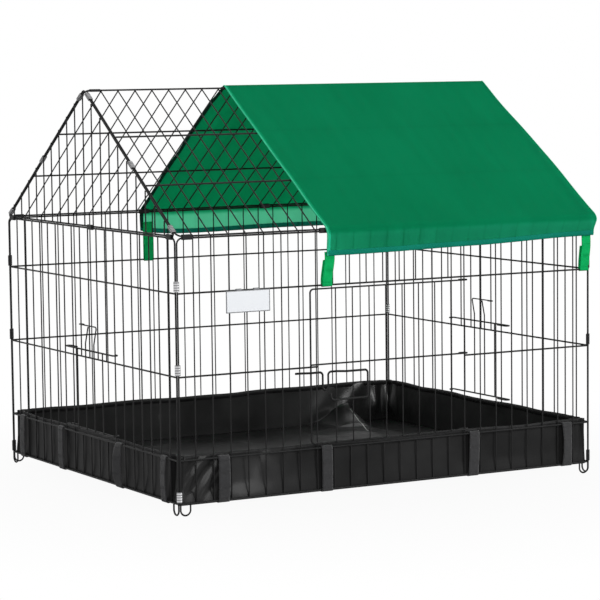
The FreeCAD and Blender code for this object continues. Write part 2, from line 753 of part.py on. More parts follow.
# Blank plate on the front wall, hung from the upper cross wire by two rolled eyes.
plate_eye_inside = cross_reach + S.bolt_clearance
plate_eye_outside = plate_eye_inside + S.plate_eye_sheet
plate_front = cross_plane - plate_eye_outside
plate = doc.addObject("Part::Box", "plate_sheet")
plate.setExpression("Length", "Sizes.plate_width")
plate.setExpression("Width", "Sizes.plate_sheet")
plate.setExpression("Height", "Sizes.plate_height")
eye_places = [bay_place(S.cage_length, FRONT_BAYS, bay) for bay in PLATE_EYE_BAYS]
plate_left = (eye_places[0] + eye_places[1] - S.plate_width) / 2
plate.Placement.Base = Vector(plate_left, plate_front, S.upper_height - S.plate_height)
pieces = [plate]
for eye_place in eye_places:
    spot = Vector(eye_place - S.plate_eye_width / 2, cross_plane, S.upper_height)
    rings = []
    for radius in (plate_eye_outside, plate_eye_inside):
        ring = doc.addObject("Part::Prism", "plate_ring")
        ring.Polygon = 2 * WIRE_SIDES
        ring.Circumradius = radius
        ring.setExpression("Height", "Sizes.plate_eye_width")
        ring.Placement = Placement(spot, Rotation(UP, ALONG))
        rings.append(ring)
    eye = doc.addObject("Part::Cut", "plate_eye")
    eye.Base, eye.Tool = rings
    pieces.append(eye)
fused_plate = doc.addObject("Part::MultiFuse", "plate")
fused_plate.Shapes = pieces
node("blank_plate", [fused_plate], front_place)

doc.recompute()
faults = []
for item in doc.Objects:
    if "Invalid" in item.State or "Error" in item.State:
        faults.append(f"{item.Label}: {item.State}")
    elif hasattr(item, "Shape") and (item.Shape.isNull() or not item.Shape.isValid()):
        faults.append(f"{item.Label}: bad shape")
if faults:
    raise RuntimeError("; ".join(faults))
os.makedirs("parts", exist_ok=True)
for item in nodes:
    item.Shape.exportStep(f"parts/{item.Label}.step")
    print(item.Label, len(item.Shape.Solids))
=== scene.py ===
import math

import bpy
from mathutils import Matrix, Vector, noise


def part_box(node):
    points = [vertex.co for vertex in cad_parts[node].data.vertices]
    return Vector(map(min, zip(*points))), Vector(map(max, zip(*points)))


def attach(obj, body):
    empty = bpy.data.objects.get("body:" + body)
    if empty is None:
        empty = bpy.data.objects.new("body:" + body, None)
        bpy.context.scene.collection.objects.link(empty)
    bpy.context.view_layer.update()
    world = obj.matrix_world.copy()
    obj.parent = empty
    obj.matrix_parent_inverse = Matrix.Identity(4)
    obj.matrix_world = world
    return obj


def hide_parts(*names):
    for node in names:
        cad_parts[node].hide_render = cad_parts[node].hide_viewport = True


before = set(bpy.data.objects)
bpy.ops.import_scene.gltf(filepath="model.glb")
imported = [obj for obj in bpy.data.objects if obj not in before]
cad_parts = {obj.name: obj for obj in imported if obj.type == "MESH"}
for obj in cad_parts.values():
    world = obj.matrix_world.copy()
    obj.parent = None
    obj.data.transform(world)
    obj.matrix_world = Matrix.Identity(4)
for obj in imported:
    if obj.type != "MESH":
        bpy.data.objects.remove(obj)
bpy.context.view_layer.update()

# Camera: a long lens a little above the eaves, out to the left of the front wall.
# Its place, turn and lens were fitted to the crossings of the wire grid.
view_place = Vector((-2.7678, -4.9556, 0.9105))
view_yaw, view_pitch, view_roll = 0.512, 0.0941, -0.0114
lens_per_width = 2569.84 / 600
ahead = Vector((
    math.sin(view_yaw) * math.cos(view_pitch),
    math.cos(view_yaw) * math.cos(view_pitch),
    -math.sin(view_pitch),
))
level_right = Vector((math.cos(view_yaw), -math.sin(view_yaw), 0))
level_up = level_right.cross(ahead)
right = level_right * math.cos(view_roll) + level_up * math.sin(view_roll)
up = level_up * math.cos(view_roll) - level_right * math.sin(view_roll)
turn = Matrix((right, up, -ahead)).transposed().to_4x4()
camera = bpy.data.objects.new("camera", bpy.data.cameras.new("camera"))
camera.data.sensor_width = 36
camera.data.lens = lens_per_width * camera.data.sensor_width
camera.data.clip_end = 100
camera.matrix_world = Matrix.Translation(view_place) @ turn
bpy.context.scene.collection.objects.link(camera)
bpy.context.scene.camera = camera
bpy.context.scene.view_settings.view_transform = "Standard"


# Studio: a wide sheet of white paper for a floor, which keeps a faint shadow, in a white surround.
# Three soft lamps stand in front, one above, and one behind that shines through the cloth.
# A Finish is built up node by node, and an Amount is a number on its way through it.
class Amount:
    def __init__(self, finish, socket):
        self.finish = finish
        self.socket = socket

    def maths(self, operation, *terms):
        return self.finish.add("ShaderNodeMath", {"operation": operation}, dict(enumerate(terms)))

    def __add__(self, other):
        return self.maths("ADD", self, other)

    def __sub__(self, other):
        return self.maths("SUBTRACT", self, other)

    def __rsub__(self, other):
        return self.maths("SUBTRACT", other, self)

    def __mul__(self, other):
        return self.maths("MULTIPLY", self, other)

    def __truediv__(self, other):
        return self.maths("DIVIDE", self, other)

    def __rtruediv__(self, other):
        return self.maths("DIVIDE", other, self)

    def __gt__(self, other):
        return self.maths("GREATER_THAN", self, other)

    def __lt__(self, other):
        return self.maths("LESS_THAN", self, other)

    def __or__(self, other):
        return self.maths("MAXIMUM", self, other)

    def __abs__(self):
        return self.maths("ABSOLUTE", self)

    __radd__, __rmul__, __ror__ = __add__, __mul__, __or__

    def fraction(self):
        return self.maths("FRACT", self)

    def ribs(self, pitch):
        """A wave that comes back once in each pitch."""
        return self.maths("SINE", self * (2 * math.pi / pitch))

    def beside(self, output):
        """Another output of the node that this one comes from."""
        return Amount(self.finish, self.socket.node.outputs[output])


class Finish:
    def __init__(self, name, fixed, backdrop=None):
        self.material = backdrop or bpy.data.materials.new(name)
        self.material.use_nodes = True
        self.tree = self.material.node_tree
        self.surface = self.tree.nodes["Background" if backdrop else "Principled BSDF"]
        self.output = self.tree.nodes["World Output" if backdrop else "Material Output"]
        for socket, value in fixed.items():
            self.surface.inputs[socket].default_value = value

    def add(self, kind, settings, sockets, output=0):
        node = self.tree.nodes.new(kind)
        for setting, value in settings.items():
            if setting == "stops":
                for middle in value[1:-1]:
                    node.color_ramp.elements.new(0.5)
                for stop, (place, colour) in zip(node.color_ramp.elements, value):
                    stop.position = place
                    stop.color = (*colour, 1)
            else:
                setattr(node, setting, value)
        for socket, value in sockets.items():
            self.feed(node.inputs[socket], value)
        return Amount(self, node.outputs[output])

    def feed(self, socket, value):
        if isinstance(value, Amount):
            self.tree.links.new(value.socket, socket)
        else:
            socket.default_value = value

    def wear(self, socket, value):
        self.feed(self.surface.inputs[socket], value)

    def tint(self, amount, *stops):
        self.wear("Base Color", self.add("ShaderNodeValToRGB", {"stops": stops}, {"Fac": amount}))

    def raise_by(self, height, depth, strength):
        sockets = {"Height": height, "Distance": depth, "Strength": strength}
        self.wear("Normal", self.add("ShaderNodeBump", {}, sockets))

    def blend(self, share, other):
        """Mix another surface into this one, by share."""
        own = Amount(self, self.surface.outputs[0])
        mixed = self.add("ShaderNodeMixShader", {}, {0: share, 1: own, 2: other})
        self.feed(self.output.inputs["Surface"], mixed)

    def place(self, kind="Object"):
        return self.add("ShaderNodeTexCoord", {}, {}, kind)

    def parts(self, vector):
        first = self.add("ShaderNodeSeparateXYZ", {}, {"Vector": vector})
        return first, first.beside(1), first.beside(2)

    def cloud(self, vector, scale, detail=2.0, roughness=0.5):
        sockets = {"Vector": vector, "Scale": scale, "Detail": detail, "Roughness": roughness}
        return self.add("ShaderNodeTexNoise", {}, sockets)

    def line(self, distance, width):
        """1 on a line, falling softly to 0 at a width from it."""
        sockets = {"Value": distance, "From Min": 0.0, "From Max": width, "To Min": 1.0, "To Max": 0.0}
        return self.add("ShaderNodeMapRange", {"interpolation_type": "SMOOTHSTEP"}, sockets)

    def in_view(self):
        """1 on rays that show the background: from the camera, off gloss or through glass."""
        seen = self.add("ShaderNodeLightPath", {}, {}, "Is Camera Ray")
        return seen | seen.beside("Is Glossy Ray") | seen.beside("Is Transmission Ray")

    def put_on(self, piece):
        piece.data.materials.clear()
        piece.data.materials.append(self.material)

    def coat(self, nodes):
        for name in nodes:
            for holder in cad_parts[name].material_slots:
                holder.material = self.material


reach = 40
floor_drop = 0.0005
paper_corners = [(-reach, -reach, 0), (reach, -reach, 0), (reach, reach, 0), (-reach, reach, 0)]
ground = bpy.data.meshes.new("floor")
ground.from_pydata(paper_corners, [], [(0, 1, 2, 3)])
floor = bpy.data.objects.new("floor", ground)
bpy.context.scene.collection.objects.link(floor)
floor.location.z = -floor_drop
paper_fixed = {"Base Color": (0.2, 0.2, 0.2, 1), "Roughness": 0.9, "Specular IOR Level": 0.1}
paper = Finish("white_paper", paper_fixed)
lit = paper.add("ShaderNodeEmission", {}, {"Color": (1, 1, 1, 1), "Strength": 1.0})
away = paper.add("ShaderNodeVectorMath", {"operation": "LENGTH"}, {0: paper.place()}, "Value")
fade = {"Value": away, "From Min": 0.5, "From Max": 1.3, "To Min": 0.95, "To Max": 1.0}
open_floor = paper.add("ShaderNodeMapRange", {}, fade)
paper.blend(paper.in_view() * open_floor, lit)
paper.put_on(floor)

surround = Finish("surround", {"Color": (1, 1, 1, 1)}, bpy.data.worlds.new("surround"))
surround_light = 0.4
surround.wear("Strength", surround_light + surround.in_view() * (1 - surround_light))
bpy.context.scene.world = surround.material

lamps = (
    ("left_lamp", (-2.2, -4.6, 2.3), 2.4, 85),
    ("right_lamp", (2.6, -4.2, 1.7), 2.6, 118),
    ("front_lamp", (-1.4, -5.0, 1.3), 1.4, 34),
    ("top_lamp", (0.3, -0.4, 3.8), 2.4, 35),
    ("back_lamp", (0.2, 4.4, 2.2), 3.0, 315),
)
lamp_aim = Vector((0, 0, 0.35))
for name, spot, width, power in lamps:
    lamp = bpy.data.objects.new(name, bpy.data.lights.new(name, "AREA"))
    lamp.data.shape = "SQUARE"
    lamp.data.size = width
    lamp.data.energy = power
    lamp.location = spot
    lamp.visible_glossy = name != "back_lamp"
    lamp.rotation_euler = (lamp_aim - Vector(spot)).to_track_quat("-Z", "Y").to_euler()
    bpy.context.scene.collection.objects.link(lamp)

# Wire panels, doors and bolt: drawn steel wire, bent, spot-welded and then powder-coated black.
# The coat is satin and a little uneven, with the fine orange-peel of baked powder.
black_coat = Finish("black_powder_coat", {"Specular IOR Level": 0.13})
spot = black_coat.place()
peel = black_coat.cloud(spot, 900, 2)
patches = black_coat.cloud(spot, 14, 3)
black_coat.tint(patches, (0.3, (0.007, 0.007, 0.0072)), (0.7, (0.013, 0.013, 0.0132)))
black_coat.wear("Roughness", 0.40 + patches * 0.2)
black_coat.raise_by(peel, 0.0002, 0.4)
wire_ends = ("_frame", "_wires", "_bars", "_bolt")
wire_nodes = [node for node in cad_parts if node.endswith(wire_ends)]
black_coat.coat(wire_nodes)
seam_gap = 0.00005


def close_seams(piece):
    weld = piece.modifiers.new("weld", "WELD")
    weld.merge_threshold = seam_gap


for node in wire_nodes:
    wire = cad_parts[node]
    wire.data.polygons.foreach_set("use_smooth", [True] * len(wire.data.polygons))
    close_seams(wire)
    round_off = wire.modifiers.new("round_off", "WEIGHTED_NORMAL")
    round_off.weight = 50

# Hinge sleeves: strips of sheet steel, rolled round two wires so that the panels can fold.
# They are coated black like the wire, and all but those on the ridge are a little thicker.
black_sheet = Finish("black_coated_sheet", {"Specular IOR Level": 0.16})
spot = black_sheet.place()
patches = black_sheet.cloud(spot, 60, 3)
black_sheet.tint(patches, (0.3, (0.004, 0.004, 0.0045)), (0.7, (0.010, 0.010, 0.0105)))
black_sheet.wear("Roughness", 0.4 + patches * 0.2)
black_sheet.raise_by(black_sheet.cloud(spot, 700, 2), 0.0002, 0.3)
sleeve_nodes = [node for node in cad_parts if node.endswith("_sleeves")]
black_sheet.coat(sleeve_nodes)
strip_swell = 0.0008
edge_round = 0.0004


def soften_edges(piece):
    soften = piece.modifiers.new("soften", "BEVEL")
    soften.width = edge_round
    soften.segments = 2


def round_strip(node):
    """Close the seams of a rolled strip, swell it where there is room, and soften its edges."""
    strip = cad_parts[node]
    close_seams(strip)
    if node != "ridge_sleeves":
        swell = strip.modifiers.new("swell", "DISPLACE")
        swell.strength = strip_swell
        swell.mid_level = 0
    soften_edges(strip)


for node in sleeve_nodes:
    round_strip(node)

# Bright clips: zinc-plated steel strip with pressed grooves, closed by hand round two frame wires.
# At the corners they cross the upright posts, and on the gables the sloping wires.
groove_pitch = 0.005
gable_rise, gable_run = 0.2842, 0.4174
slope_angle = math.atan2(gable_rise, gable_run)


def bright_clip(name, dull, bright, sloping):
    zinc = Finish(name, {"Metallic": 1.0, "Specular IOR Level": 0.5})
    spot = zinc.place()
    back, run = zinc.parts(spot)[1:]
    if sloping:
        run = run * math.sin(slope_angle) - abs(back) * math.cos(slope_angle)
    groove = run.ribs(groove_pitch)
    stains = zinc.cloud(spot, 90, 3, 0.6)
    zinc.tint(stains * 0.55 + (groove * 0.5 + 0.5) * 0.45, (0.2, dull), (0.75, bright))
    zinc.wear("Roughness", 0.34 + stains * 0.25)
    zinc.raise_by(groove, 0.0006, 0.7)
    return zinc


corner_clips = ["front_left_clips", "back_right_clips"]
gable_clips = ["left_gable_clips", "right_gable_clips"]
corner_zinc = bright_clip("bright_corner_clip", (0.16, 0.16, 0.165), (0.60, 0.60, 0.61), False)
# The gable clips are the same zinc as the corner clips, painted darker as painted shade.
gable_zinc_in_painted_shade = bright_clip("gable_clip_painted_darker", (0.07, 0.07, 0.072), (0.30, 0.30, 0.305), True)
corner_zinc.coat(corner_clips)
gable_zinc_in_painted_shade.coat(gable_clips)
for node in corner_clips + gable_clips:
    round_strip(node)

# Floor tray: one sheet of black vinyl, folded up at the walls and bunched at the corners.
# It hangs inside the wires from its straps, so it sags a little between them,
# and its floor lies loose, with slack and creases.
tray_low, tray_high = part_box("floor_liner")
tray_half = Vector(((tray_high.x - tray_low.x) / 2, (tray_high.y - tray_low.y) / 2))
tray_corner = 0.005
tray_skin = 0.0011
tray_rim = tray_high.z
tray_floor = tray_low.z - 0.0010
tray_wall = tray_rim - tray_floor
corner_steps = 8
wall_step = 0.005
floor_columns, floor_depth = 140, 120
wall_rises = (
    0, 0.03, 0.08, 0.15, 0.22, 0.29, 0.36, 0.43, 0.50,
    0.57, 0.64, 0.71, 0.78, 0.85, 0.92, 0.96, 1.0,
)
crease_x, crease_y = 0.373, 0.412
crease_fall, crease_drift = 0.151, 0.027
pleat_pitch, drag_pitch = 0.026, 0.042
back_folds = ((0.160, 0.006, 0.020), (0.235, 0.004, 0.030))
back_bulges, right_bulges = (0.006, 0.044), (0.036,)
rim_droop = 0.0045
loose_hump = Vector((0.285, 0.20))
wall_room = 0.0015
strap_places = {
    "front": [-0.4, -0.16, 0.2, 0.44],
    "back": [-0.44, -0.2, 0.16, 0.4],
    "left": [-0.357, -0.147, 0.147, 0.357],
    "right": [-0.357, -0.147, 0.147, 0.357],
}


def pointing(degrees):
    angle = math.radians(degrees)
    return Vector((math.cos(angle), math.sin(angle)))


def tray_plan():
    """Points round the tray's walls: each one's place and the way out from it."""
    points = []
    corners = (
        (1, -1, -90, tray_half.y),
        (1, 1, 0, tray_half.x),
        (-1, 1, 90, tray_half.y),
        (-1, -1, 180, tray_half.x),
    )
    for east, north, start, half in corners:
        centre = Vector((east * (tray_half.x - tray_corner), north * (tray_half.y - tray_corner)))
        for step in range(corner_steps + 1):
            out = pointing(start + step * 90 / corner_steps)
            points.append((centre + out * tray_corner, out))
        span = 2 * (half - tray_corner)
        count = round(span / wall_step)
        out = pointing(start + 90)
        heading = Vector((-out.y, out.x))
        first = centre + out * tray_corner
        for step in range(1, count):
            points.append((first + heading * (span * step / count), out))
    return points


def ease(value, low, high):
    """A soft step from 0 at low to 1 at high."""
    share = min(max((value - low) / (high - low), 0), 1)
    return share * share * (3 - 2 * share)


def hump(distance, width):
    return math.exp(-((distance / width) ** 2))


def wall_fold(place, out, rise):
    """How far the vinyl stands in from its flat place; rise is 0 at the floor and 1 at the rim."""
    along = place.x * abs(out.y) + place.y * abs(out.x)
    half = tray_half.x if abs(out.y) > abs(out.x) else tray_half.y
    from_corner = half - abs(along)
    height = rise * tray_wall
    slow = noise.noise(Vector((place.x * 9, place.y * 9, height * 7)))
    fine = noise.noise(Vector((place.x * 34, place.y * 34, height * 20 + 5)))
    fold = 0.0024 + 0.0030 * slow + 0.0012 * fine
    pleats = 0.9 + math.sin(from_corner * 2 * math.pi / pleat_pitch + 2.0 * slow)
    back_right = place.x > 0 and place.y > 0
    dragged = out.y < -0.5 and place.x < 0
    if back_right:
        fold += 0.0030 * hump(from_corner, 0.075) * pleats * (1 - 0.65 * rise)
    else:
        depth = 0.0008 if dragged else 0.0036
        fold += depth * hump(from_corner, 0.05) * pleats * (0.35 + 0.65 * rise)
    if dragged:
        slant = from_corner - height * 0.8
        drag = hump(from_corner - 0.05, 0.05)
        fold += 0.0036 * drag * (1 + math.sin(slant * 2 * math.pi / drag_pitch))
        fold += 0.013 * hump(from_corner - 0.14 - height * 0.6, 0.045) * rise
    if out.y > 0.5 and place.x > 0:
        for shift, depth, width in back_folds:
            slant = from_corner - shift + height * 0.8
            fold += depth * hump(slant, width) * (1 - rise) ** 0.5
    if back_right:
        belly = ease(rise, 0, 0.4) * (1 - 0.7 * ease(rise, 0.4, 1))
        for centre in back_bulges if out.y > 0.5 else right_bulges:
            fold += 0.014 * hump(from_corner - centre, 0.009) * belly
    return max(fold, 0)


def rim_sag(place, out):
    """How far the rim hangs down between two straps."""
    if abs(out.y) > 0.7:
        side, along = "front" if out.y < 0 else "back", place.x
    else:
        side, along = "left" if out.x < 0 else "right", place.y
    gap = min(abs(along - strap) for strap in strap_places[side])
    slack = 0.6 + 0.8 * noise.noise(Vector((place.x * 5, place.y * 5, 3)))
    return rim_droop * ease(gap, 0.015, 0.13) * slack


def floor_lift(spot):
    """How far the vinyl stands off the floor: slack, thin creases, and where it climbs the back wall."""
    edge = min(tray_half.x - abs(spot.x), tray_half.y - abs(spot.y))
    slack = noise.noise(Vector((spot.x * 5, spot.y * 5, 1.5)))
    slack += 0.5 * noise.noise(Vector((spot.x * 13, spot.y * 13, 4)))
    crease = max(1 - 9 * abs(noise.noise(Vector((spot.x * 4.2, spot.y * 6.5, 8)))), 0) ** 2
    lift = 0.005 * max(slack + 0.3, 0) + 0.003 * crease
    lift += 0.010 * hump((spot - loose_hump).length, 0.055)
    climb = max(1 - (tray_half.y - spot.y) / 0.15, 0) ** 1.15
    crest = crease_x - 0.18 * max(crease_y - spot.y, 0)
    flank = 0.060 if spot.x < crest else 0.026
    return lift * ease(edge, 0, 0.03) + 0.050 * climb * hump(spot.x - crest, flank)


def quilt(name, *patches):
    """A mesh of quads through the rows of points of each patch, with its UV map in metres."""
    verts, faces, corners = [], [], []
    for rows, closed in patches:
        first, count = len(verts), len(rows[0])
        verts += [point for row in rows for point in row]
        middle = rows[len(rows) // 2]
        across, along = [0], [0]
        for step in range(count):
            across.append(across[-1] + (middle[(step + 1) % count] - middle[step]).length)
        for lower, upper in zip(rows, rows[1:]):
            along.append(along[-1] + (upper[0] - lower[0]).length)
        for lower in range(len(rows) - 1):
            start, end = first + lower * count, first + (lower + 1) * count
            for step in range(count if closed else count - 1):
                after = (step + 1) % count
                faces.append((start + step, start + after, end + after, end + step))
                corners += [(across[step], along[lower]), (across[step + 1], along[lower])]
                corners += [(across[step + 1], along[lower + 1]), (across[step], along[lower + 1])]
    mesh = bpy.data.meshes.new(name)
    mesh.from_pydata(verts, [], faces)
    chart = mesh.uv_layers.new(name="cloth")
    chart.data.foreach_set("uv", [value for corner in corners for value in corner])
    mesh.polygons.foreach_set("use_smooth", [True] * len(mesh.polygons))
    piece = bpy.data.objects.new(name, mesh)
    bpy.context.scene.collection.objects.link(piece)
    return piece


def thicken(piece, thickness, offset=-1.0):
    skin = piece.modifiers.new("thickness", "SOLIDIFY")
    skin.thickness = thickness
    skin.offset = offset
    return piece


plan = tray_plan()
wall_rows = []
for rise in wall_rises:
    row = []
    for place, out in plan:
        spot = place - out * (wall_fold(place, out, rise) * ease(rise, 0, 0.4))
        height = tray_floor + tray_wall * rise - rim_sag(place, out) * rise ** 2
        row.append(Vector((spot.x, spot.y, height)))
    wall_rows.append(row)
floor_rows = []
for north in range(floor_depth + 1):
    row = []
    for east in range(floor_columns, -1, -1):
        spot = Vector((
            (2 * east / floor_columns - 1) * tray_half.x,
            (2 * north / floor_depth - 1) * tray_half.y,
        ))
        bend = Vector((abs(spot.x) - tray_half.x + tray_corner, abs(spot.y) - tray_half.y + tray_corner))
        if min(bend) > 0 and bend.length > tray_corner:
            bend = bend * (tray_corner / bend.length)
            corner = tray_half - Vector((tray_corner, tray_corner)) + bend
            spot = Vector((math.copysign(corner.x, spot.x), math.copysign(corner.y, spot.y)))
        lift = floor_lift(spot)
        if lift > 0.002:
            fold = wall_fold(Vector((spot.x, tray_half.y)), Vector((0, 1)), lift / tray_wall)
            spot.y = min(spot.y, tray_half.y - fold - wall_room)
        row.append(Vector((spot.x, spot.y, tray_floor + lift)))
    floor_rows.append(row)
tray = quilt("vinyl_tray", (wall_rows, True), (floor_rows, False))
thicken(tray, tray_skin)

vinyl = Finish("black_vinyl", {"Specular IOR Level": 0.045, "IOR": 1.5, "Coat Roughness": 0.24})
spot = vinyl.place()
pores = {"Vector": spot, "Scale": 900.0}
grain = vinyl.add("ShaderNodeTexVoronoi", {"feature": "DISTANCE_TO_EDGE"}, pores)
creases = vinyl.cloud(spot, 26, 4, 0.6)
dust = vinyl.cloud(spot, 7, 3, 0.55)
east, north, height = vinyl.parts(spot)
# Painted highlight: a pale line is painted into the vinyl's colour along the crest of the floor's crease
# where it climbs to the back wall; the palest stop below is its colour.
down_crease = (crease_y - north) / crease_fall
off_crease = abs(east - crease_x + down_crease * crease_drift)
pale = vinyl.line(off_crease, 0.0026) * (down_crease > 0) * (down_crease < 1) * (height < 0.06)
vinyl.tint(
    dust * 0.6 + pale * 0.5,
    (0.18, (0.0095, 0.0095, 0.0096)),
    (0.45, (0.0205, 0.0205, 0.0206)),
    (0.8, (0.45, 0.45, 0.44)),
)
vinyl.wear("Roughness", 0.27 + dust * 0.14 + creases * 0.06)
vinyl.raise_by(creases * 0.8 + grain * 0.03, 0.003, 0.22)
rubbed_corner = {0: spot, 1: (0.42, 0.38, 0.06)}
by_corner = vinyl.add("ShaderNodeVectorMath", {"operation": "DISTANCE"}, rubbed_corner, "Value")
rubbed_front = vinyl.line(abs(east + 0.37), 0.24) * (north < -0.39)
rubbed_back = vinyl.line(by_corner, 0.30) * (height > 0.03)
vinyl.wear("Coat Weight", rubbed_front * 0.20 + rubbed_back * 0.85)
vinyl.put_on(tray)
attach(tray, "cage")
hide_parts("floor_liner")

# Rim of the tray: the vinyl's upper edge, bound in a folded strip of the same sheet.
# The strip is sewn through with one row of stitches near its lower edge.
rim_height = 0.011
rim_skin = 0.0006
rim_profile = (
    (-0.0004, rim_height), (-0.0006, 0.004), (-0.0004, 0.0), (0.0008, -0.0006),
    (0.0019, 0.0), (0.0021, 0.004), (0.0019, rim_height),
)
rim_rows = []
for inset, drop in rim_profile:
    row = []
    for place, out in plan:
        spot = place - out * (wall_fold(place, out, 1) + inset)
        row.append(Vector((spot.x, spot.y, tray_rim - rim_sag(place, out) - drop)))
    rim_rows.append(row)
rim = quilt("tray_rim", (rim_rows, True))
thicken(rim, rim_skin)
bound = Finish("bound_vinyl_edge", {"Specular IOR Level": 0.14})
along, across = bound.parts(bound.place("UV"))[:2]
stitch = (along.ribs(0.0045) > -0.2) * (abs(across - 0.0085) < 0.0005)
wear = bound.cloud(bound.place(), 30, 3)
bound.tint(wear * 0.6 + stitch * 0.4, (0.2, (0.006, 0.006, 0.006)), (0.7, (0.02, 0.02, 0.021)))
bound.wear("Roughness", 0.42 + wear * 0.2)
bound.raise_by(wear * 0.5 + stitch, 0.0012, 0.5)
bound.put_on(rim)
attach(rim, "cage")

# Straps of the tray: flat black webbing, sewn to the rim, brought out over a wire,
# down the outside of the wall and back under to the tray's floor.
webbing = Finish("black_webbing", {"Specular IOR Level": 0.1, "Sheen Weight": 0.15})
across, along = webbing.parts(webbing.place("UV"))[:2]
rib = across.ribs(0.0021)
pick = along.ribs(0.0016)
fuzz = webbing.cloud(webbing.place(), 160, 3)
cloth = rib * 0.35 + pick * 0.25 + fuzz
webbing.tint(cloth * 0.5 + 0.25, (0.2, (0.018, 0.018, 0.019)), (0.8, (0.050, 0.050, 0.052)))
webbing.wear("Roughness", 0.72 + fuzz * 0.15)
webbing.raise_by(rib * 0.6 + pick * 0.4, 0.0005, 0.6)

wall_half = Vector((0.5, 0.42))
wall_turns = {
    "front": (Vector((0, -wall_half.y)), 0),
    "back": (Vector((0, wall_half.y)), 180),
    "left": (Vector((-wall_half.x, 0)), -90),
    "right": (Vector((wall_half.x, 0)), 90),
}


def in_wall(side, along, inward, height):
    """A point given along a wall, in from its wires and above the floor."""
    origin, degrees = wall_turns[side]
    heading = pointing(degrees)
    inside = Vector((-heading.y, heading.x))
    spot = origin + heading * along + inside * inward
    return Vector((spot.x, spot.y, height))


def rounded(points, steps=5):
    """A smooth line through the middles of a route's runs, with its two ends kept."""
    line = [points[0]]
    for before, corner, after in zip(points, points[1:], points[2:]):
        start = (before + corner) / 2 if before is not points[0] else before.lerp(corner, 0.6)
        end = (corner + after) / 2 if after is not points[-1] else after.lerp(corner, 0.6)
        for step in range(steps + 1):
            share = step / steps
            line.append(start.lerp(corner, share).lerp(corner.lerp(end, share), share))
    line.append(points[-1])
    return line


strap_width = 0.025
strap_skin = 0.0012
strap_foot, strap_rise = 0.022, 0.094
band_steps = 6
strap_route = [
    Vector((0.0052, 0.1145)),
    Vector((0.0030, 0.1157)),
    Vector((-0.0010, 0.1158)),
    Vector((-0.0028, 0.1135)),
    Vector((-0.0036, 0.1000)),
    Vector((-0.0042, 0.0650)),
    Vector((-0.0032, 0.0360)),
    Vector((-0.0026, 0.0235)),
    Vector((-0.0008, 0.0212)),
    Vector((0.0030, 0.0211)),
    Vector((0.0056, 0.0219)),
]
strap_twists = {("left", 0): -4, ("left", 1): 22, ("front", 3): 12, ("front", 0): -8}
for side, places in strap_places.items():
    straps = []
    for number, place in enumerate(places):
        local = place if side in ("front", "right") else -place
        lean = 0.0035 * noise.noise(Vector((place * 7, number + 2.5, len(side) * 1.3)))
        bow = 0.0012 * noise.noise(Vector((place * 5, number + 7.5, len(side))))
        twist = math.radians(strap_twists.get((side, number), 0))
        rows = []
        for inward, height in rounded(strap_route):
            share = min(max((height - strap_foot) / strap_rise, 0), 1)
            belly = max(bow * math.sin(math.pi * share), 0)
            angle = twist * math.sin(math.pi * share) ** 0.7
            row = []
            for step in range(band_steps + 1):
                over = (step / band_steps - 0.5) * strap_width
                out_by = belly + strap_width / 2 * abs(math.sin(angle)) - over * math.sin(angle)
                along = local + over * math.cos(angle) + lean * (share - 0.5) * 2
                row.append(in_wall(side, along, inward - out_by, height))
            rows.append(row)
        straps.append(thicken(quilt(f"{side}_strap_{number}", (rows, False)), strap_skin, 0.0))
    for strap in straps:
        webbing.put_on(strap)
        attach(strap, "cage")
    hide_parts(f"{side}_liner_straps")

# Roof cover: one piece of thin green woven cloth, stretched over the ridge and down both slopes,
# with a short valance at each eave. It sags a little between the wires and lets some light through.
cover_low, cover_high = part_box("roof_cover")
cover_left, cover_right = cover_low.x, cover_high.x
eave_fold, ridge_top = 0.5610, cover_high.z
eave_bulge = 0.005
eave_out = cover_high.y + eave_bulge
slope_length = math.hypot(eave_out, ridge_top - eave_fold)
slope_way = Vector((eave_out, ridge_top - eave_fold)) / slope_length
cover_skin = 0.0008
wire_pitch = 0.04
fold_reach = 0.014
fold_steps = (0.003, 0.006, 0.009)
slope_steps, valance_steps, cover_columns = 44, 8, 96
thread_pitch = 0.0014


def cover_point(share_x, run):
    """A point of the cover: share_x from left to right, run out from the ridge, front negative."""
    out = abs(run)
    way = -1 if run < 0 else 1
    down = min(out / slope_length, 1)
    drop = out - slope_length
    if way < 0:
        drawn = 0.003 * down
    else:
        drawn = -0.0066 * ease(down, 0, 0.15) * (1 - 0.4 * ease(down, 0.7, 1))
    left = cover_left - 0.005 * (1 - share_x) * (1 - down) + drawn
    flare = 0.012 * ease(down, 0.1, 0.6) - 0.009 * ease(drop, 0, 0.03)
    x = left + (cover_right - 0.008 + flare - left) * share_x
    if drop < 0:
        wires = 0.5 - 0.5 * math.cos(2 * math.pi * (x + wall_half.x) / wire_pitch)
        spans = math.sin(math.pi * down * 3) ** 2
        sag = 0.0009 * wires + 0.0011 * spans + 0.0008 * noise.noise(Vector((x * 8, run * 8, 2)))
        sag *= ease(out, 0, 0.04) * ease(-drop, 0, 0.04)
        y = slope_way.x * out - slope_way.y * sag
        z = ridge_top - slope_way.y * out - slope_way.x * sag
        z -= 0.0008 * max(1 - out / fold_reach, 0) ** 2
    else:
        wave = noise.noise(Vector((x * 13, drop * 10, 5 + way)))
        y = eave_out - 0.003 * ease(drop, 0.01, 0.05) + 0.0016 * ease(drop, 0.005, 0.05) * wave
        z = eave_fold - drop
    near = max(1 - abs(drop) / fold_reach, 0)
    return Vector((x, way * (y - 0.0030 * near ** 2), z - 0.0018 * near ** 2))


def valance_depth(way, share_x):
    """How far the valance hangs: the front's is shorter to the right, the back's at its left end."""
    if way < 0:
        depth = 0.0537 - 0.0080 * share_x - 0.0062 * ease(share_x, 0.55, 0.9)
    else:
        depth = 0.0590 - 0.0060 * share_x - 0.0120 * math.exp(-share_x / 0.07)
    return depth + 0.0008 * math.sin(share_x * 9)


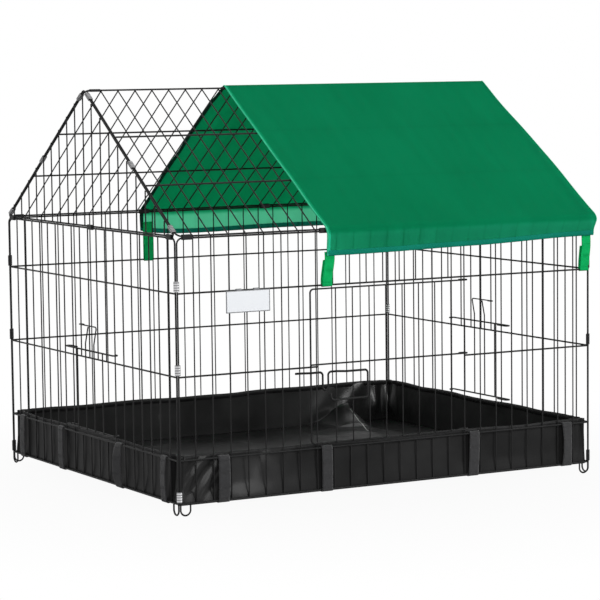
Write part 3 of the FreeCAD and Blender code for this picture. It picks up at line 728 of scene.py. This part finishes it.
def cover_runs(share_x):
    """Stations from the front hem over the ridge to the back hem."""
    flat = slope_length - 2 * fold_reach
    half = [0, *fold_steps, fold_reach]
    half += [fold_reach + flat * step / slope_steps for step in range(1, slope_steps)]
    half += [slope_length - gap for gap in (fold_reach, *reversed(fold_steps), 0)]
    half += [slope_length + gap for gap in fold_steps]
    sides = []
    for way in (-1, 1):
        hang = valance_depth(way, share_x) - fold_steps[-1]
        stations = range(1, valance_steps + 1)
        sides.append(half + [half[-1] + hang * step / valance_steps for step in stations])
    front, back = sides
    return [-run for run in front[:0:-1]] + back


cover_rows = []
for column in range(cover_columns + 1):
    share = column / cover_columns
    cover_rows.append([cover_point(share, run) for run in cover_runs(share)])
cover = quilt("roof_cloth", (cover_rows, False))
thicken(cover, cover_skin, 0.0)


def plain_weave(across, along):
    return along.ribs(thread_pitch) * across.ribs(thread_pitch) * 0.5 + 0.5


green = Finish("green_cloth", {"Specular IOR Level": 0.04})
chart = green.place("UV")
across, along = green.parts(chart)[:2]
weave = plain_weave(across, along)
slub_stretch = {"Vector": chart, "Scale": (14, 260, 1)}
slub = green.cloud(green.add("ShaderNodeMapping", {}, slub_stretch), 1.0, 3)
faded = green.cloud(green.place(), 4.5, 3, 0.55)
ridge_across = slope_length + valance_depth(-1, 0.5)
from_ridge = abs(across - ridge_across)
behind = across > ridge_across
valance = 1 - green.line(from_ridge - slope_length, fold_reach)
# Painted shade: darker lines over the cross wires under the slopes and over the upright wires, much
# darker on the valance, where the wires show through the cloth.
wire_shade_across = sum(green.line(abs(from_ridge - slope_length * third / 3), 0.004) for third in (1, 2))
bay = (along + (cover_left + wall_half.x)) / wire_pitch + 0.5
upright_wire_shade = green.line(abs(bay.fraction() - 0.5) * wire_pitch, 0.003)
# The valance is painted paler than the slopes (its share of the tone and the palest stop): painted light
# for its brighter look, on the same cloth.
tone = faded * 0.3 + slub * 0.18 + weave * 0.12 + valance * 0.50
green.tint(
    tone - wire_shade_across * 0.09 - upright_wire_shade * (0.02 + valance * 0.20),
    (0.15, (0.0008, 0.222, 0.090)),
    (0.45, (0.0020, 0.305, 0.131)),
    (0.9, (0.024, 0.60, 0.33)),
)
green.wear("Roughness", 0.62 + slub * 0.2)
green.raise_by(weave + slub * 0.6, 0.0005, 0.5)
# The valance lets through a paler green than the slopes, and the back valance, lit from behind by the
# back lamp, lets through the most: painted light for its washed, backlit look.
slope_glow = green.add("ShaderNodeBsdfTranslucent", {}, {"Color": (0.040, 0.43, 0.255, 1)})
valance_glow = green.add("ShaderNodeBsdfTranslucent", {}, {"Color": (0.212, 0.506, 0.377, 1)})
glow_mix = {0: valance * (0.3 + behind * 0.7), 1: slope_glow, 2: valance_glow}
glowing = green.add("ShaderNodeMixShader", {}, glow_mix)
streak_stretch = {"Vector": chart, "Scale": (3, 34, 1)}
streaks = green.cloud(green.add("ShaderNodeMapping", {}, streak_stretch), 1.0, 2)
doubled_width = 0.008
doubled = (along < doubled_width) | (along > cover_right - cover_left - doubled_width)
green.blend((0.44 + streaks * 0.16 + valance * 0.24) * (1 - doubled * 0.85), glowing)
green.put_on(cover)
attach(cover, "cage")
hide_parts("roof_cover")

# Edges of the cover: the side edges are bound with a folded tape of paler green,
# which is painted dark where it turns under, as painted shade. Both hems are turned up double and sewn.
binding = Finish("pale_green_binding", {"Specular IOR Level": 0.06})
across, along = binding.parts(binding.place("UV"))[:2]
twill = (across + along).ribs(0.0016) * 0.5 + 0.5
mottle = binding.cloud(binding.place(), 60, 3)
painted_shade_under = along > 0.0046
binding.tint(
    twill * 0.3 + mottle * 0.7 - painted_shade_under,
    (0.0, (0.0010, 0.035, 0.020)),
    (0.2, (0.020, 0.33, 0.17)),
    (0.8, (0.045, 0.46, 0.25)),
)
binding.wear("Roughness", 0.7 + mottle * 0.15)
binding.raise_by(twill, 0.0004, 0.5)
hem_finish = Finish("turned_hem", {"Specular IOR Level": 0.05})
across, along = hem_finish.parts(hem_finish.place("UV"))[:2]
weave = plain_weave(across, along)
sewn = (along.ribs(0.004) > 0) * (abs(across - 0.0088) < 0.0006)
mottle = hem_finish.cloud(hem_finish.place(), 12, 3)
hem_finish.tint(
    weave * 0.2 + mottle * 0.6 + sewn * 0.3,
    (0.2, (0.0025, 0.165, 0.105)),
    (0.8, (0.0070, 0.235, 0.160)),
)
hem_finish.wear("Roughness", 0.66 + mottle * 0.15)
hem_finish.raise_by(weave + sewn * 0.8, 0.0005, 0.5)

trims = []
bindings = (("left_binding", 0, 0.0036, 0.0085), ("right_binding", 1, 0.0018, 0.0018))
for name, share, over, under in bindings:
    inner = Vector((1 - 2 * share, 0, 0))
    edge = [cover_point(share, run) for run in cover_runs(share)]
    binding_profile = (
        (over, 0.0008), (over / 2, 0.0010), (0, 0.0008), (-0.0006, 0),
        (0, -0.0008), (under / 2, -0.0010), (under, -0.0008),
    )
    rows = []
    for inset, lift in binding_profile:
        row = []
        for number, point in enumerate(edge):
            before, after = edge[max(number - 1, 0)], edge[min(number + 1, len(edge) - 1)]
            face = (after - before).cross(Vector((1, 0, 0))).normalized()
            row.append(point + inner * inset - face * lift)
        rows.append(row)
    trim = quilt(name, (rows, False))
    binding.put_on(trim)
    trims.append(trim)
hem_turn = 0.0105
hem_profile = (
    (hem_turn, 0.0007), (0.005, 0.0010), (0, 0.0007), (-0.0005, 0),
    (0, -0.0007), (0.005, -0.0010), (hem_turn, -0.0007),
)
for name, way in (("front_hem", -1), ("back_hem", 1)):
    rows = []
    for up_by, out_by in hem_profile:
        row = []
        for column in range(cover_columns + 1):
            share = column / cover_columns
            run = slope_length + valance_depth(way, share) - max(up_by, 0)
            row.append(cover_point(share, way * run) + Vector((0, way * out_by, min(up_by, 0))))
        rows.append(row)
    hem = quilt(name, (rows, False))
    hem_finish.put_on(hem)
    trims.append(hem)
for trim in trims:
    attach(trim, "cage")
flat_length = 2 * slope_length + valance_depth(-1, 0.5) + valance_depth(1, 0.5)

# Tapes of the cover: bright green woven tape, sewn inside each end of the hems,
# looped under the wall's upper wire and closed on itself.
tape_finish = Finish("bright_green_tape", {"Specular IOR Level": 0.05})
along = tape_finish.parts(tape_finish.place("UV"))[1]
rib = along.ribs(0.0018) * 0.5 + 0.5
mottle = tape_finish.cloud(tape_finish.place(), 70, 3)
tape_finish.tint(
    rib * 0.3 + mottle * 0.7,
    (0.2, (0.0010, 0.30, 0.075)),
    (0.8, (0.0050, 0.42, 0.115)),
)
tape_finish.wear("Roughness", 0.65 + mottle * 0.15)
tape_finish.raise_by(rib, 0.0005, 0.5)
tape_width = 0.0232
tape_skin = 0.0010
tape_places = (-0.150, 0.491)
tape_slips = (-0.006, -0.004)
slip_height = 0.505
low_top, high_top = 0.5150, 0.5340
tape_route = [
    Vector((-0.0032, 0.5100)),
    Vector((-0.0036, 0.4950)),
    Vector((-0.0033, 0.4600)),
    Vector((-0.0030, 0.4460)),
    Vector((-0.0008, 0.4437)),
    Vector((0.0030, 0.4440)),
    Vector((0.0040, 0.4520)),
    Vector((0.0036, 0.4980)),
]
for side, way in (("front", 1), ("back", -1)):
    tapes = []
    for number, place in enumerate(tape_places):
        top = low_top if (side, number) == ("front", 0) else high_top
        rows = []
        for inward, height in rounded([Vector((-0.0024, top))] + tape_route):
            slip = tape_slips[number] * ease(slip_height - height, 0, 0.05) * (side == "front")
            row = []
            for step in range(band_steps + 1):
                over = (step / band_steps - 0.5) * tape_width
                row.append(in_wall(side, way * (place + slip) + over, inward, height))
            rows.append(row)
        tapes.append(thicken(quilt(f"{side}_tape_{number}", (rows, False)), tape_skin, 0.0))
    for tape in tapes:
        tape_finish.put_on(tape)
        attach(tape, "cage")
    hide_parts(f"{side}_cover_tapes")

# Plate on the front wall: thin white moulded sheet with a softened edge, round which a grey line is
# painted as its shade.
# Two eyes rolled from its upper edge hang it on a wire.
plate_x, plate_z = -0.34, 0.4245
face_x, face_z = 0.0480, 0.0205
white = Finish("white_plate", {"Specular IOR Level": 0.4})
spot = white.place()
haze = white.cloud(spot, 25, 3)
across, height = white.parts(spot)[::2]
# Painted shade: the grey band round the face stands for the shade on the softened edge.
edge = (abs(across - plate_x) > face_x) + (abs(height - plate_z) > face_z)
white.tint(haze * 0.35 + edge * 0.5, (0.25, (0.74, 0.76, 0.79)), (0.5, (0.16, 0.165, 0.175)))
white.wear("Roughness", 0.34 + haze * 0.16)
white.raise_by(haze, 0.0004, 0.25)
white.coat(["blank_plate"])
soften_edges(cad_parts["blank_plate"])
